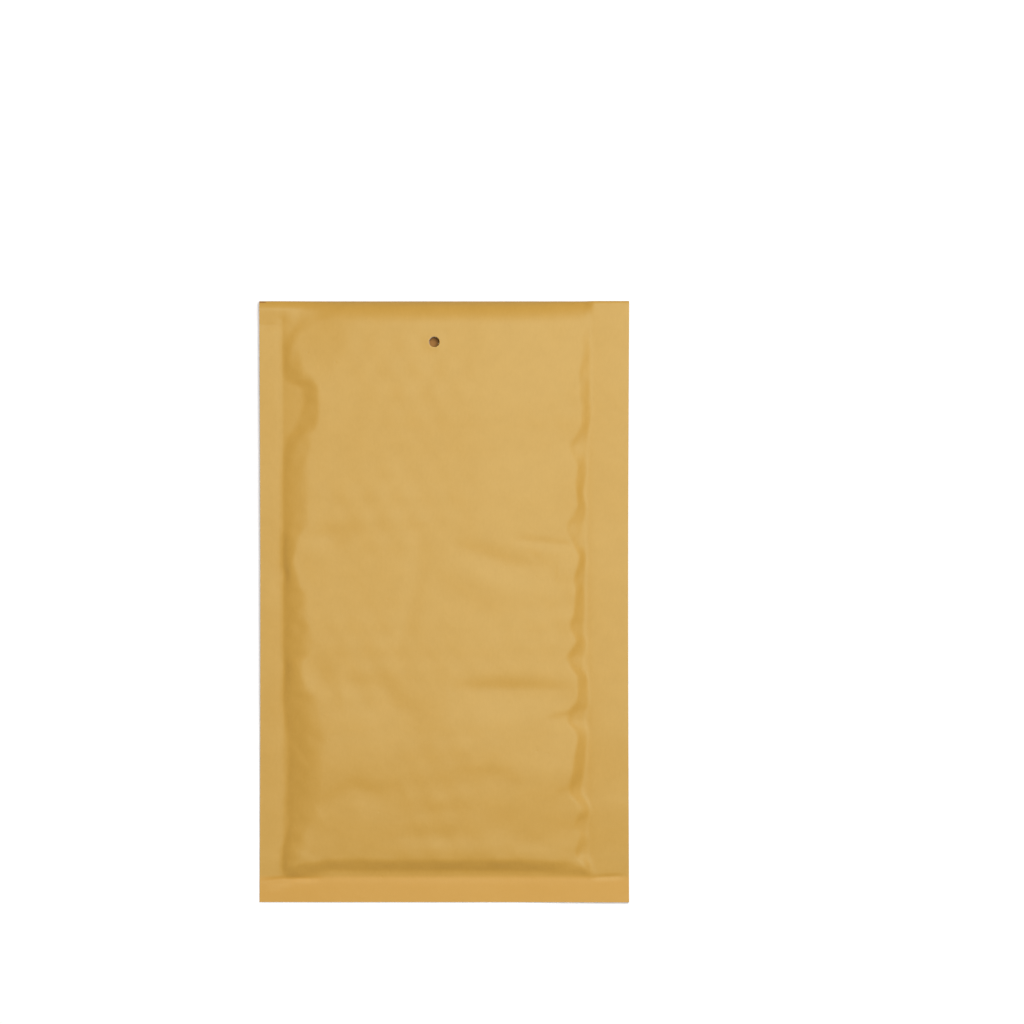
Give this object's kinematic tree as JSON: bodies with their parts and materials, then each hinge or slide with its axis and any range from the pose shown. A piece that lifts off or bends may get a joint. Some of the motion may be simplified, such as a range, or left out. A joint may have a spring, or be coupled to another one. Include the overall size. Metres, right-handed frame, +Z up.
{
  "type": "padded envelope",
  "caption": "Flat kraft paper envelope lined with bubble film, its mouth folded behind it, with a wide sealing flap and punched fastener holes.",
  "frame": {"origin": "centre of the envelope's outline, on the surface it lies on", "axes": "+Z up out of the address side, +Y towards the folded mouth end, +X to the right seen from the address side"},
  "size_m": [0.139, 0.226, 0.0067],
  "materials": {
    "kraft_paper": "satin",
    "bubble_film": "gloss",
    "adhesive": "gloss",
    "liner_paper": "satin"
  },
  "bodies": {
    "root": {"kraft_envelope": "kraft_paper", "front_bubble_lining": "bubble_film", "back_bubble_lining": "bubble_film", "flap_adhesive": "adhesive", "release_liner": "liner_paper"}
  },
  "joints": []
}
